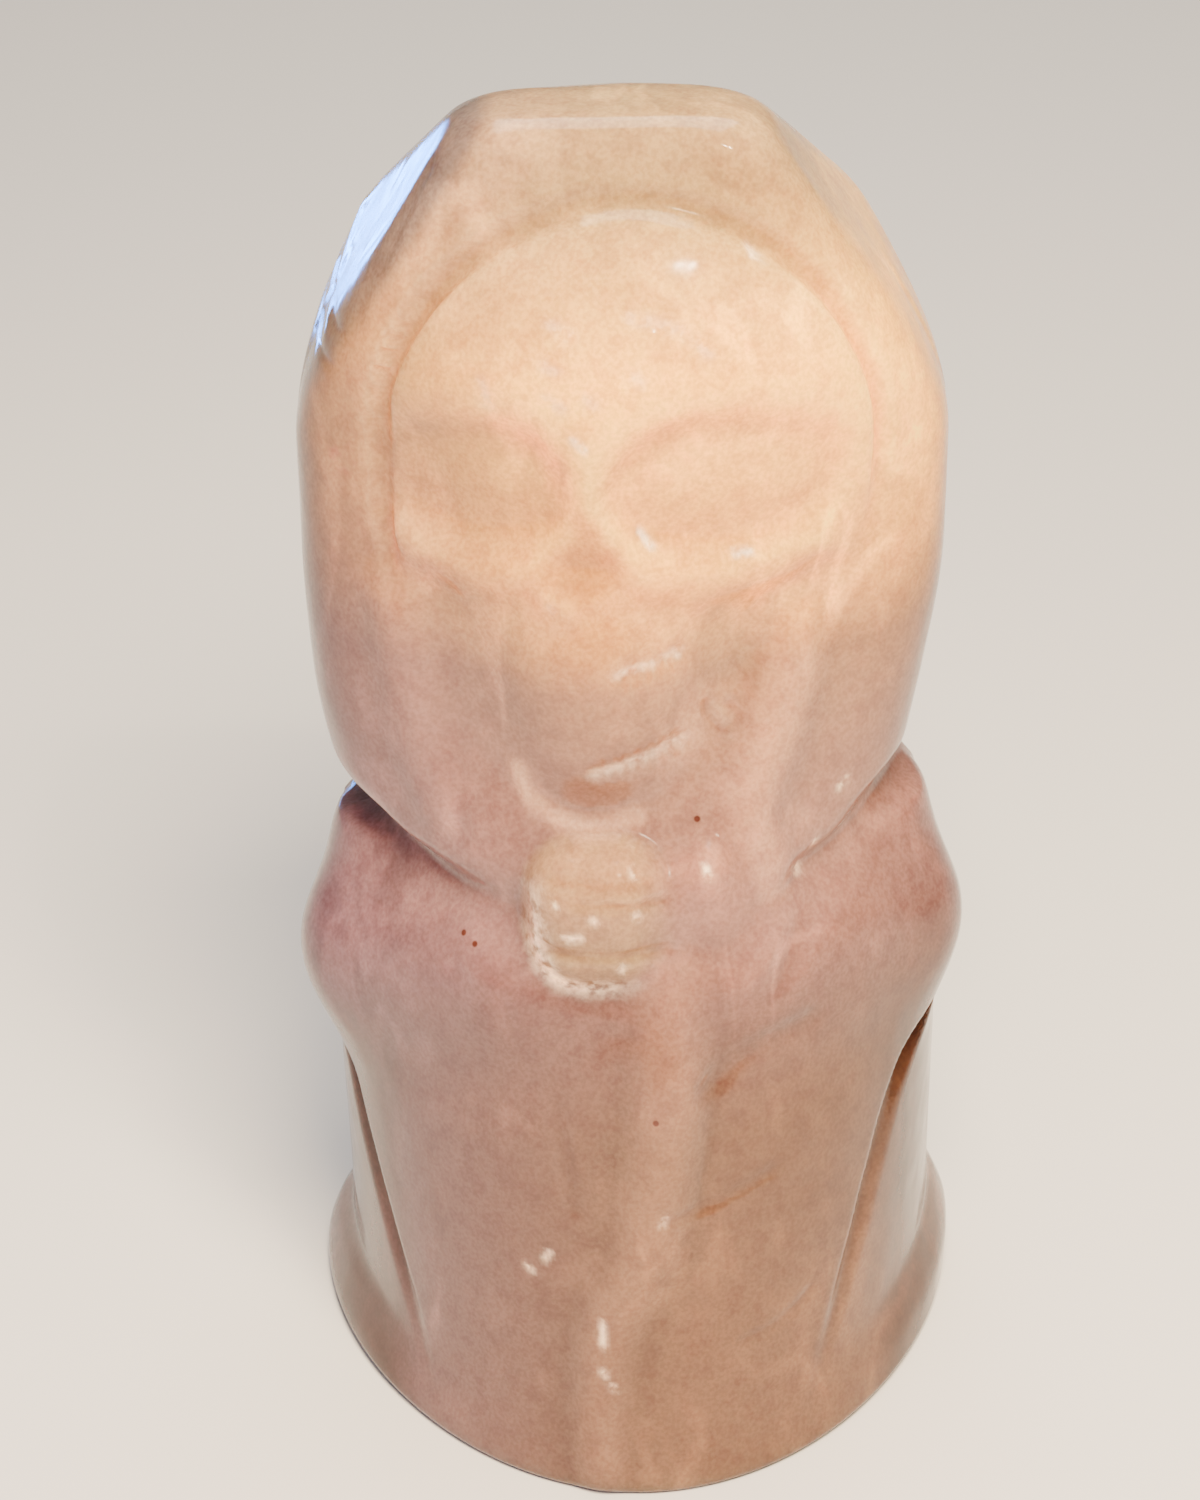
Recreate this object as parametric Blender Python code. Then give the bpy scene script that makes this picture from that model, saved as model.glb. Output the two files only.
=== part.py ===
"""A grim reaper carved and polished from one piece of rose quartz.

A hooded skull looks out over two clasped fists that hold an upright staff. The robe narrows to a tongue
in front, a cape wraps the back and sides, and the whole piece stands on a flat, nearly round underside.

The form is worked out as a carver does it. Broad masses are laid on one another and run together with
soft fillets, then hollows and creases are cut with round burrs. Each mass and each cut is a signed
distance: how far a point lies outside its surface, or, below zero, inside it. A UV sphere is the blank,
and each of its vertices is drawn along its own ray until it meets the carved surface.

Sizes are in metres, +Z is up, and the figure faces -Y. The free forms of the carving are laid out in
hundredths of the height: x to the viewer's right, y to the back, z up from the underside.
"""

import math

import bmesh
import bpy
import numpy as np

MM = 0.001

# Driving dimensions
HEIGHT = 50.0 * MM
HOOD_WIDTH = 22.9 * MM
NECK_WIDTH = 20.3 * MM
SLEEVE_WIDTH = 24.1 * MM
WAIST_WIDTH = 22.9 * MM
HEM_WIDTH = 25.0 * MM
FOOT_FRONT = 14.4 * MM
FOOT_BACK = 9.7 * MM
FOOT_EDGE = 0.5 * MM

# The blank: how finely the stone is worked
SEGMENTS = 60
RINGS = 80
FRONT_CROWDING = 0.42

# Where the core line stands and how the blank's rings are shared out, as fractions from foot to crown
CORE_LINE = -4.0
CORE_TOP = 92.0
UNDER = 0.05
EDGE = 0.08
CROWN = 0.87

# How each ray finds the stone, in hundredths of the height
RAY_REACH = 44.0
RAY_STEPS = 70
HALVINGS = 12

# Past this distance from a bead, how far off it is no longer matters to any fillet
FAR = 5.0

# How far in front a line starts when it is pressed onto a mass, and in how many steps it gets there
FRONT_REACH = 32.0
PRESSES = 60

SHARE = HEIGHT / 100

# Shares that several masses take
WIDEST_LINE = 2.4
DRAPERY_LEAN = 0.04
SLEEVE_RADIUS = 6.3
FACE_MIDDLE = -2.4
BROW = 81.5
BROW_FRONT = -18.0
BROW_FALL = 0.5
SOCKET_ENDS = 4.0, 16.0
SOCKET_DEPTHS = 2.1, 0.9


def shares(size):
    """A size in metres, in hundredths of the height."""
    return size / SHARE


def half(width):
    """Half of a width in metres, in hundredths of the height."""
    return width / SHARE / 2


# Joining and cutting

def join(a, b, fillet):
    """Two masses as one, with a fillet where they meet."""
    mix = np.clip(0.5 + 0.5 * (b - a) / fillet, 0, 1)
    return b + (a - b) * mix - fillet * mix * (1 - mix)


def trim(a, b, fillet):
    """What lies inside both masses, with a rounded edge."""
    return -join(-a, -b, fillet)


def cut(a, b, fillet):
    """The first mass without the second, with a rounded edge."""
    return trim(a, -b, fillet)


# Simple masses and burr paths

def egg(p, centre, radii):
    """An ellipsoid."""
    q = (p - centre) / radii
    near = np.linalg.norm(q, axis=1)
    steep = np.linalg.norm(q / radii, axis=1)
    return near * (near - 1) / np.maximum(steep, 1e-9)


def block(p, centre, halves, corner):
    """A box with rounded edges and corners."""
    q = np.abs(p - centre) - (np.asarray(halves) - corner)
    outside = np.linalg.norm(np.maximum(q, 0), axis=1)
    return outside + np.minimum(q.max(axis=1), 0) - corner


def rod(p, start, end, start_radius, end_radius):
    """A round rod with ball ends that may taper."""
    start = np.asarray(start, float)
    along = np.asarray(end, float) - start
    t = np.clip((p - start) @ along / (along @ along), 0, 1)
    away = np.linalg.norm(p - start - t[:, None] * along, axis=1)
    return away - (start_radius + (end_radius - start_radius) * t)


def smooth_line(points, steps=5):
    """A smooth line through a few chosen points (Catmull-Rom)."""
    points = np.asarray(points, float)
    ends = [2 * points[0] - points[1]], [2 * points[-1] - points[-2]]
    knots = np.vstack([ends[0], points, ends[1]])
    line = []
    for a, b, c, d in zip(knots, knots[1:], knots[2:], knots[3:]):
        for t in np.arange(steps) / steps:
            bend = 2 * a - 5 * b + 4 * c - d
            twist = 3 * b - a - 3 * c + d
            line.append(b + (c - a) * t / 2 + bend * t ** 2 / 2 + twist * t ** 3 / 2)
    return np.vstack([line, points[-1:]])


def bead(p, points, start_radius, end_radius=None):
    """A rounded bead laid along a smooth line. Cut away, it is a burr's groove."""
    end_radius = start_radius if end_radius is None else end_radius
    line = smooth_line(points)
    radii = np.linspace(start_radius, end_radius, len(line))
    margin = radii.max() + FAR
    close = np.all((p > line.min(axis=0) - margin) & (p < line.max(axis=0) + margin), axis=1)
    away = np.full(len(p), FAR)
    if close.any():
        beads = [rod(p[close], *span) for span in zip(line, line[1:], radii, radii[1:])]
        away[close] = np.minimum(np.min(beads, axis=0), FAR)
    return away


def laid(mass, points, sunk=0.0):
    """Front-view points (x, z), pressed back until they lie on the front of a mass, or that far under it."""
    x, z = np.asarray(points, float).T
    y = np.full(len(x), -FRONT_REACH)
    for _ in range(PRESSES):
        y = y + np.clip(mass(np.column_stack([x, y, z])), -1, 1)
    return np.column_stack([x, y + sunk, z])


def along_height(z, stations):
    """A smooth curve through (height, size) stations that never overshoots them."""
    heights, sizes = np.asarray(stations, float).T
    slopes = np.diff(sizes) / np.diff(heights)
    before, after = slopes[:-1], slopes[1:]
    same_way = before * after > 0
    inner = np.where(same_way, 2 * before * after / np.where(same_way, before + after, 1), 0)
    tangents = np.concatenate([slopes[:1], inner, slopes[-1:]])
    z = np.clip(z, heights[0], heights[-1])
    i = np.clip(np.searchsorted(heights, z) - 1, 0, len(slopes) - 1)
    span = heights[i + 1] - heights[i]
    t = (z - heights[i]) / span
    rise = t * t * (3 - 2 * t)
    lead = t * (1 - t) ** 2 * span * tangents[i]
    trail = t * t * (t - 1) * span * tangents[i + 1]
    return sizes[i] + (sizes[i + 1] - sizes[i]) * rise + lead + trail


def column(p, width, front, back, squareness):
    """An upright mass of rounded section: half-width, depth in front and depth behind."""
    depth = np.where(p[:, 1] < 0, front, back)
    across = np.abs(p[:, 0]) / width
    through = np.abs(p[:, 1]) / depth
    reach = (across ** squareness + through ** squareness) ** (1 / squareness)
    return (reach - 1) * np.minimum(width, depth)


def mirrored(p, centre=0.0):
    """Points folded onto the right-hand side of a centre line."""
    return np.column_stack([np.abs(p[:, 0] - centre), p[:, 1], p[:, 2]])


def leaned(p):
    """Points in the frame of the drapery, whose lines all run a little higher to the right."""
    return p - np.outer(p[:, 0], (0, 0, DRAPERY_LEAN))


# Robe, cape and hem

def robe(p):
    """The body under the hood: a tall rounded mass that slopes back as it rises."""
    z = p[:, 2]
    waist, neck = half(WAIST_WIDTH), half(NECK_WIDTH)
    foot_front = shares(FOOT_FRONT) + WIDEST_LINE
    foot_back = shares(FOOT_BACK) - WIDEST_LINE
    low = [(0, waist + 0.6), (8, waist), (26, waist + 0.2)]
    high = [(34, neck + 1.8), (40, neck), (47, neck - 0.9)]
    face = [(0, foot_front), (8, 29.6), (18, 28.4), (30, 26.8), (38, 25), (46, 20.5), (56, 15)]
    width = along_height(z, low + high)
    front = along_height(z, face)
    back = along_height(z, [(0, foot_back), (10, 15.8), (30, 15.2), (46, 14.2)])
    mass = column(p - (0, WIDEST_LINE, 0), width, front, back, 1.94)
    return trim(mass, z - 56, 6)


def hem(p):
    """The cape's hem, which flares over the underside and ends in a notch."""
    z = np.maximum(leaned(p)[:, 2], 0)
    full = half(HEM_WIDTH)
    foot_front = shares(FOOT_FRONT) + WIDEST_LINE
    foot_back = shares(FOOT_BACK) - WIDEST_LINE
    width = along_height(z, [(0, full - 0.1), (2, full), (5, full - 0.9), (8, full - 3.5)])
    front = along_height(z, [(0, foot_front), (8, foot_front - 4.5)])
    back = along_height(z, [(0, foot_back + 0.4), (3, foot_back + 0.4), (8, foot_back - 3)])
    mass = column(p - (-0.3, WIDEST_LINE, 0), width, front, back, 1.9)
    return trim(mass, z - 8.5, 2.5)


def sleeves(p):
    """Two heavy sleeves, from the shoulders round the elbows to the wrists."""
    q = mirrored(leaned(p), -0.35)
    elbow = half(SLEEVE_WIDTH) - SLEEVE_RADIUS
    upper = rod(q, (15.8, -2, 40.8), (elbow, -4, 35), SLEEVE_RADIUS, SLEEVE_RADIUS)
    lower = rod(q, (elbow, -4.6, 34.8), (8, -15.4, 39.8), SLEEVE_RADIUS, 5.0)
    return join(upper, lower, 2)


def skirt(p):
    """Robe and hem, before anything is cut into them."""
    return join(robe(p), hem(p), 0.8)


LEFT_CAPE_EDGE = laid(skirt, [(-22.4, 27), (-21.2, 21.5), (-19.8, 16.5), (-18.2, 11), (-17, 6), (-16.2, 0)])
RIGHT_CAPE_EDGE = laid(skirt, [(22.2, 29.4), (19.4, 25.4), (17.4, 19.8), (15.9, 14.5), (13.7, 6), (12.6, 0)])


def cape_grooves(p):
    """Where the cape's front edges lie on the robe, fading out at the hem."""
    return np.minimum(bead(p, LEFT_CAPE_EDGE, 1.1, 0.5), bead(p, RIGHT_CAPE_EDGE, 1.2, 0.6))


def back_folds(p):
    """Soft upright folds down the back of the cape."""
    folds = []
    for x in (-8.5, 0, 8.5):
        line = [(x, 20.6, 42), (1.15 * x, 20.9, 24), (1.3 * x, 22.6, 4)]
        folds.append(bead(p, line, 2.6, 3.4))
    return np.min(folds, axis=0)


STAFF_LINE = laid(skirt, [(2.4, 41), (2, 32.5), (1.1, 25.3), (0.2, 19.6), (-2.2, 14), (-3, 8), (-3, 2)], 1.1)


def staff(p):
    """The upright staff, which runs from the hands down the robe."""
    return bead(p, STAFF_LINE, 2.5, 1.5)


# Hood, cowl and lapels

def bevels(x, z):
    """The two flat bevels that slope from the hood's sides to its top."""
    return 0.842 * np.abs(x) + 0.540 * z - 62.1


def hood(p):
    """The deep hood, cut above by a flat top facet, two side bevels and a sloping back."""
    z = p[:, 2]
    full = half(HOOD_WIDTH)
    sway = along_height(z, [(44, -0.9), (52, -1.0), (66, -0.4), (76, -0.3), (84, -0.6), (100, -0.9)])
    x, y = p[:, 0] - sway, p[:, 1]
    low = [(42, full - 3.6), (49, full - 2.1), (57, full - 0.7), (66, full)]
    high = [(75, full), (84, full - 0.3), (100, full - 2)]
    width = along_height(z, low + high)
    front = along_height(z, [(44, 15), (56, 14.5), (75, 13), (88, 12.9), (95, 12.4), (100, 11)])
    back = along_height(z, [(44, 15), (55, 16.5), (75, 17.3), (100, 15)])
    mass = column(np.column_stack([x, y, z]), width, front, back, 2.7)
    mass = trim(mass, bevels(x, z), 3)
    mass = trim(mass, 0.62 * y + 0.785 * z - 77.3, 4)
    mass = trim(mass, z - 100, 1.6)
    return trim(mass, 47.6 - z, 3.4)


def cowl(p):
    """The hood's front edges, which fall forward over the shoulders to a point at the hands."""
    z = p[:, 2]
    width = along_height(z, [(37, 7), (42, 12.6), (45.5, 15.5), (48.5, 19), (60, 19.6)])
    front = along_height(z, [(37, 22), (42, 21.6), (50, 19), (57, 16.6), (65, 14.4), (75, 12.5)])
    mass = column(p - (-0.6, 0, 0), width, front, 8.0, 2.2)
    mass = trim(mass, z - 76, 6)
    return trim(mass, 37 - z, 2)


def opening(p):
    """The hollow of the hood round the skull, and the throat below it."""
    face = egg(p, (0.2, -15.5, 78), (17.6, 4.6, 19))
    throat = egg(p, (-2.2, -21.0, 57.5), (10.2, 4.9, 9.5))
    return join(face, throat, 3)


def hollowed_hood(p):
    """Hood and cowl with the hollow for the face."""
    return cut(join(hood(p), cowl(p), 2), opening(p), 1.6)


def arch(p):
    """The shallow groove that parts the skull from the hood's brim."""
    side = [(16.2, -13.6, 66), (16.8, -11.6, 71), (17.0, -11.2, 76), (16.4, -11.6, 82)]
    top = [(13.0, -12.4, 88.8), (7.6, -12.9, 93.4), (0, -13, 95.6), (-7.6, -12.9, 93.4)]
    return bead(mirrored(p, 0.3), side + top, 0.9, 1.2)


LEFT_LAPEL = laid(hollowed_hood, [(-15.4, 66), (-15, 61), (-14.4, 56), (-13.2, 51)], 1.4)
RIGHT_LAPEL = laid(hollowed_hood, [(9.8, 66), (10.6, 62), (9.3, 56.5), (7.6, 51.5), (8.5, 46), (7, 41)], 1)


def lapels(p):
    """Two soft ridges from the cheeks past the jaw. The right one goes on down to the hands."""
    return np.minimum(bead(p, LEFT_LAPEL, 2.0, 1.0), bead(p, RIGHT_LAPEL, 2.0, 1.7))


def cowl_grooves(p):
    """The V between the cowl and the sleeves, open at the sides as the neck's pinch."""
    side = [(21.4, 8, 46.5), (20.9, 0, 47), (19, -8, 47.3)]
    front = [(16.5, -13.8, 46), (14, -17.9, 43.8), (12.3, -20.7, 40.8), (10.4, -22.6, 38.2)]
    return bead(mirrored(leaned(p), 0.5 + 0.08 * p[:, 1]), side + front, 2.5, 0.7)


# Skull

def skull(p):
    """Cranium, cheekbones, muzzle and chin, a little left of the hood's middle."""
    cranium = egg(p, (0.2, -3, 79.5), (19.6, 16.6, 19.2))
    cheeks = egg(p, (-1.2, -6.4, 71.3), (16.6, 12.2, 5.4))
    jaw = egg(p, (-1.8, -6.5, 64), (12.6, 11.2, 12.5))
    muzzle = egg(p, (FACE_MIDDLE, -10.2, 62), (7.6, 9.6, 9.4))
    chin = egg(p, (FACE_MIDDLE, -12.6, 56.3), (6.6, 6.9, 4.9))
    head = join(cranium, cheeks, 3)
    head = join(head, jaw, 3)
    head = join(head, muzzle, 3)
    head = join(head, chin, 2.4)
    return trim(head, bevels(p[:, 0] + 1, p[:, 2]) + 1.2, 1.5)


def sockets(p):
    """Two broad, shallow eye sockets under a level brow, deepest by the nose."""
    left = egg(p, (-10.7, -16, 76.8), (6.0, 12, 4.9))
    right = egg(p, (6.5, -16, 77.0), (7.2, 12, 4.8))
    under_brow = p[:, 2] + BROW_FALL * (p[:, 1] - BROW_FRONT) - BROW
    openings = trim(np.minimum(left, right), under_brow, 1.2)
    depth = np.interp(np.abs(p[:, 0] - FACE_MIDDLE), SOCKET_ENDS, SOCKET_DEPTHS)
    return trim(openings, -skull(p) - depth, 1.8)


def nose(p):
    """The nose cavity, wider at its foot."""
    foot = egg(p, (FACE_MIDDLE - 1.0, -20.4, 71.6), (3.3, 2.8, 2.0))
    bridge = egg(p, (FACE_MIDDLE - 0.8, -20.9, 73.4), (1.9, 2.6, 2.2))
    return join(foot, bridge, 1)


def cheek_hollows(p):
    """The sunken cheeks below the cheekbones."""
    return egg(mirrored(p, FACE_MIDDLE), (9.4, -18.6, 63), (3.0, 3.6, 5.2))


# Hands

def fists(p):
    """Two fists clasped one on the other, with a thumb's knuckle and a wrist to their right."""
    both = block(p, (-2.7, -19.2, 45.6), (4.9, 4.0, 5.5), 3.2)
    knuckle = egg(p, (4.6, -19.4, 48.6), (2.2, 2.6, 2.4))
    wrist = egg(p, (4.4, -17.6, 44.6), (4.2, 3.4, 4.2))
    return join(join(both, wrist, 2.5), knuckle, 1.6)


def carving(p):
    """The whole figure: how far each point lies outside the stone."""
    figure = join(skirt(p), staff(p), 1.8)
    figure = join(figure, sleeves(p), 5.5)
    figure = cut(figure, cape_grooves(p), 1.8)
    figure = cut(figure, back_folds(p), 3)
    upper = join(hollowed_hood(p), lapels(p), 2.4)
    head = cut(skull(p), sockets(p), 2.2)
    head = cut(head, nose(p), 0.8)
    head = cut(head, cheek_hollows(p), 2)
    upper = join(upper, head, 0.8)
    upper = cut(upper, arch(p), 1.6)
    figure = join(figure, upper, 0.8)
    figure = cut(figure, cowl_grooves(p), 1.2)
    return join(figure, fists(p), 1.2)


# Drawing the blank onto the carving

def around(longitude):
    """The longitude that a blank's meridian takes, set closer together in front."""
    return longitude - FRONT_CROWDING * np.sin(longitude)


def rays(blank):
    """For each vertex of the blank, where its ray starts, its direction and how far out it reaches.

    The lowest rings lie in the underside. The next ones rise up the sides, with level rays from the core
    line, and the last fan out over the top from one point.
    """
    latitude = np.arcsin(np.clip(blank[:, 2], -1, 1)) / math.pi + 0.5
    longitude = around(np.arctan2(blank[:, 0], -blank[:, 1]))
    under = np.clip(latitude / UNDER, 0, 1)
    up = np.interp(latitude, [UNDER, EDGE, CROWN], [0, shares(FOOT_EDGE), CORE_TOP])
    tilt = np.interp(latitude, [CROWN, 1], [0, math.pi / 2])
    start = np.column_stack([0 * up, 0 * up + CORE_LINE, up])
    level = np.cos(tilt)
    direction = np.column_stack([np.sin(longitude) * level, -np.cos(longitude) * level, np.sin(tilt)])
    return start, direction, under


def outermost(start, direction):
    """How far along each ray the stone's outermost surface lies."""
    steps = np.linspace(RAY_REACH, 2, RAY_STEPS)
    inside = np.zeros(len(start))
    outside = np.full(len(start), RAY_REACH)
    waiting = np.ones(len(start), bool)
    for near, far in zip(steps[1:], steps):
        rows = np.flatnonzero(waiting)
        met = rows[carving(start[rows] + near * direction[rows]) <= 0]
        inside[met], outside[met] = near, far
        waiting[met] = False
    for _ in range(HALVINGS):
        middle = (inside + outside) / 2
        within = carving(start + middle[:, None] * direction) <= 0
        inside = np.where(within, middle, inside)
        outside = np.where(within, outside, middle)
    return inside


def drawn(blank):
    """The blank's vertices, drawn onto the carving, in hundredths of the height."""
    start, direction, under = rays(blank)
    reach = outermost(start, direction)
    edge = shares(FOOT_EDGE)
    rise = np.clip(edge - start[:, 2], 0, edge)
    reach = (reach - edge + np.sqrt(edge ** 2 - rise ** 2)) * under
    return start + reach[:, None] * direction


def stone():
    """The blank as a UV sphere, carved, stood on the origin and shaded smooth."""
    shape = bmesh.new()
    bmesh.ops.create_uvsphere(shape, u_segments=SEGMENTS, v_segments=RINGS, radius=1)
    shape.verts.ensure_lookup_table()
    places = drawn(np.array([v.co for v in shape.verts])) * SHARE
    middle = (places.min(axis=0) + places.max(axis=0)) / 2
    places -= (middle[0], middle[1], 0)
    for vertex, place in zip(shape.verts, places):
        vertex.co = place
    bmesh.ops.recalc_face_normals(shape, faces=shape.faces)
    mesh = bpy.data.meshes.new("reaper")
    shape.to_mesh(mesh)
    shape.free()
    mesh.shade_smooth()
    return mesh


def rose_quartz():
    """Polished rose quartz, a warm milky pink."""
    material = bpy.data.materials.new("rose_quartz")
    material.use_nodes = True
    shader = material.node_tree.nodes["Principled BSDF"]
    shader.inputs["Base Color"].default_value = (0.62, 0.38, 0.28, 1)
    shader.inputs["Roughness"].default_value = 0.15
    shader.inputs["Metallic"].default_value = 0
    return material


def main():
    for thing in list(bpy.data.objects):
        bpy.data.objects.remove(thing)
    collection = bpy.data.collections.new("grim_reaper_carving")
    bpy.context.scene.collection.children.link(collection)
    figure = bpy.data.objects.new("reaper", stone())
    figure.data.materials.append(rose_quartz())
    collection.objects.link(figure)


main()
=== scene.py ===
# %% [markdown]
# A grim reaper, carved and polished from one piece of rose quartz, small enough to close a hand round.
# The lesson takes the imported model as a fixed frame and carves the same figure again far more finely, with
# the small tool marks that a polisher leaves. Then it makes a milky stone that lets light in, and lights it.

# %% Load the frame
import math

import bmesh
import bpy
import numpy as np
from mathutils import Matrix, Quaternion, Vector


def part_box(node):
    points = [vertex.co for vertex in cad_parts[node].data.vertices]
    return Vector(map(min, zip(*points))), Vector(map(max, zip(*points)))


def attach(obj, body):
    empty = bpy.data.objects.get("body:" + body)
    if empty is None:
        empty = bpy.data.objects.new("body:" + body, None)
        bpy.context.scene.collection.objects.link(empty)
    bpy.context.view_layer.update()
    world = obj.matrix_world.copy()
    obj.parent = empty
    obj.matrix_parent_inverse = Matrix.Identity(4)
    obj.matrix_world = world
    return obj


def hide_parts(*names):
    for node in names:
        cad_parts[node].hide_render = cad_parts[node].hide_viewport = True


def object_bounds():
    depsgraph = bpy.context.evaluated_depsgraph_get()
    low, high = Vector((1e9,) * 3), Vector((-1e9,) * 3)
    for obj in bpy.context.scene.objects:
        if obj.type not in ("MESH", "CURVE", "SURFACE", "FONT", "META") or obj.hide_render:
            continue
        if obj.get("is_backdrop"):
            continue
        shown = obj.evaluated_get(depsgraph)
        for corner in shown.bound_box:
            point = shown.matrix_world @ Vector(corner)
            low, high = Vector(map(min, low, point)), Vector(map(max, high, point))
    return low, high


MM = 0.001

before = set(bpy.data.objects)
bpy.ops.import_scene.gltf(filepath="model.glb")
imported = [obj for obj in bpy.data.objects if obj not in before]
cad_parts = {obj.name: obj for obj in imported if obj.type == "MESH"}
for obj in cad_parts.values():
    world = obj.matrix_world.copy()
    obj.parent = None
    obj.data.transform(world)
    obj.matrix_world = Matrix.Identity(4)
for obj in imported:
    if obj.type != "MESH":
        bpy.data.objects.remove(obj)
cad_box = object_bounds()
low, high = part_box("reaper")
HEIGHT = high.z - low.z
SHARE = HEIGHT / 100
print(f"The stone is {HEIGHT / MM:.1f} mm tall, so one share is {SHARE / MM:.2f} mm")

# %% [markdown]
# A carver lays out a figure in shares of its height, and so does this lesson: every length of the carving
# is in hundredths of the height, x to the viewer's right, y to the back and z up. The stone isn't built from
# faces placed by hand. Each mass is a signed distance, which says how far a point lies outside the mass, or,
# below zero, inside it. Distances are easy to join and to cut with a soft fillet, as polished stone has.

# %% Joining and cutting
def join(a, b, fillet):
    """Two masses as one, with a fillet where they meet."""
    mix = np.clip(0.5 + 0.5 * (b - a) / fillet, 0, 1)
    return b + (a - b) * mix - fillet * mix * (1 - mix)


def trim(a, b, fillet):
    """What lies inside both masses, with a rounded edge."""
    return -join(-a, -b, fillet)


def cut(a, b, fillet):
    """The first mass without the second, with a rounded edge."""
    return trim(a, -b, fillet)


print("Two eggs a share apart join at", round(float(join(np.array(0.5), np.array(0.5), 1.0)), 2))

# %% [markdown]
# Four simple forms carry the whole figure: an egg, a rounded block, a rod and a column whose plan changes
# with height. A bead is a row of rods laid along a smooth line. Added, it is a ridge; cut away, it is the
# groove that a small round burr leaves in the stone.

# %% Simple masses
def egg(p, centre, radii):
    """An ellipsoid."""
    q = (p - centre) / radii
    near = np.linalg.norm(q, axis=1)
    steep = np.linalg.norm(q / radii, axis=1)
    return near * (near - 1) / np.maximum(steep, 1e-9)


def block(p, centre, halves, corner):
    """A box with rounded edges and corners."""
    q = np.abs(p - centre) - (np.asarray(halves) - corner)
    outside = np.linalg.norm(np.maximum(q, 0), axis=1)
    return outside + np.minimum(q.max(axis=1), 0) - corner


def rod(p, start, end, start_radius, end_radius):
    """A round rod with ball ends that may taper."""
    start = np.asarray(start, float)
    along = np.asarray(end, float) - start
    t = np.clip((p - start) @ along / (along @ along), 0, 1)
    away = np.linalg.norm(p - start - t[:, None] * along, axis=1)
    return away - (start_radius + (end_radius - start_radius) * t)


def column(p, width, front, back, squareness):
    """An upright mass of rounded section: half-width, depth in front and depth behind."""
    depth = np.where(p[:, 1] < 0, front, back)
    across = np.abs(p[:, 0]) / width
    through = np.abs(p[:, 1]) / depth
    reach = (across ** squareness + through ** squareness) ** (1 / squareness)
    return (reach - 1) * np.minimum(width, depth)


probe = np.array([[3.0, 0, 0]])
print("Beside a round egg, a point is", egg(probe, (0, 0, 0), (2, 2, 2))[0], "share outside it")

# %% [markdown]
# A burr's path is a few points with a smooth line through them. Most paths are easiest to place in front
# view, so only x and z are typed, and the depth is found by pressing the points back until they lie on the
# front of a mass. Depths typed by hand would float or sink as soon as that mass changed.

# %% Burr paths
# Past this distance from a bead, how far off it is no longer matters to any fillet
FAR = 5.0
# Points that are pressed start this far in front, and take this many steps back
FRONT_REACH = 32.0
PRESSES = 60


def smooth_line(points, steps=5):
    """A smooth line through a few chosen points (Catmull-Rom)."""
    points = np.asarray(points, float)
    ends = [2 * points[0] - points[1]], [2 * points[-1] - points[-2]]
    knots = np.vstack([ends[0], points, ends[1]])
    line = []
    for a, b, c, d in zip(knots, knots[1:], knots[2:], knots[3:]):
        for t in np.arange(steps) / steps:
            bend = 2 * a - 5 * b + 4 * c - d
            twist = 3 * b - a - 3 * c + d
            line.append(b + (c - a) * t / 2 + bend * t ** 2 / 2 + twist * t ** 3 / 2)
    return np.vstack([line, points[-1:]])


def bead(p, points, start_radius, end_radius=None):
    """A rounded bead laid along a smooth line. Cut away, it is a burr's groove."""
    end_radius = start_radius if end_radius is None else end_radius
    line = smooth_line(points)
    radii = np.linspace(start_radius, end_radius, len(line))
    margin = radii.max() + FAR
    close = np.all((p > line.min(axis=0) - margin) & (p < line.max(axis=0) + margin), axis=1)
    away = np.full(len(p), FAR)
    if close.any():
        beads = [rod(p[close], *span) for span in zip(line, line[1:], radii, radii[1:])]
        away[close] = np.minimum(np.min(beads, axis=0), FAR)
    return away


def laid(mass, points, sunk=0.0):
    """Front-view points (x, z), pressed back until they lie on the front of a mass, or that far under it."""
    x, z = np.asarray(points, float).T
    y = np.full(len(x), -FRONT_REACH)
    for _ in range(PRESSES):
        y = y + np.clip(mass(np.column_stack([x, y, z])), -1, 1)
    return np.column_stack([x, y + sunk, z])


print("A burr path through 3 points has", len(smooth_line([(0, 0, 0), (1, 2, 0), (3, 3, 0)])), "points")

# %% [markdown]
# The figure's sides follow smooth curves through a few measured heights. The curve must never swing past the
# sizes it is given, or the stone would bulge where the carver left it straight, so its slopes are the
# harmonic means of their neighbours. The drapery on this piece runs a little higher to the right, and most
# things come in pairs, so two helpers lean and mirror the points.

# %% Curves along the height, pairs and lean
DRAPERY_LEAN = 0.04


def along_height(z, stations):
    """A smooth curve through (height, size) stations that never overshoots them."""
    heights, sizes = np.asarray(stations, float).T
    slopes = np.diff(sizes) / np.diff(heights)
    before, after = slopes[:-1], slopes[1:]
    same_way = before * after > 0
    inner = np.where(same_way, 2 * before * after / np.where(same_way, before + after, 1), 0)
    tangents = np.concatenate([slopes[:1], inner, slopes[-1:]])
    z = np.clip(z, heights[0], heights[-1])
    i = np.clip(np.searchsorted(heights, z) - 1, 0, len(slopes) - 1)
    span = heights[i + 1] - heights[i]
    t = (z - heights[i]) / span
    rise = t * t * (3 - 2 * t)
    lead = t * (1 - t) ** 2 * span * tangents[i]
    trail = t * t * (t - 1) * span * tangents[i + 1]
    return sizes[i] + (sizes[i + 1] - sizes[i]) * rise + lead + trail


def mirrored(p, centre=0.0):
    """Points folded onto the right-hand side of a centre line."""
    return np.column_stack([np.abs(p[:, 0] - centre), p[:, 1], p[:, 2]])


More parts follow.
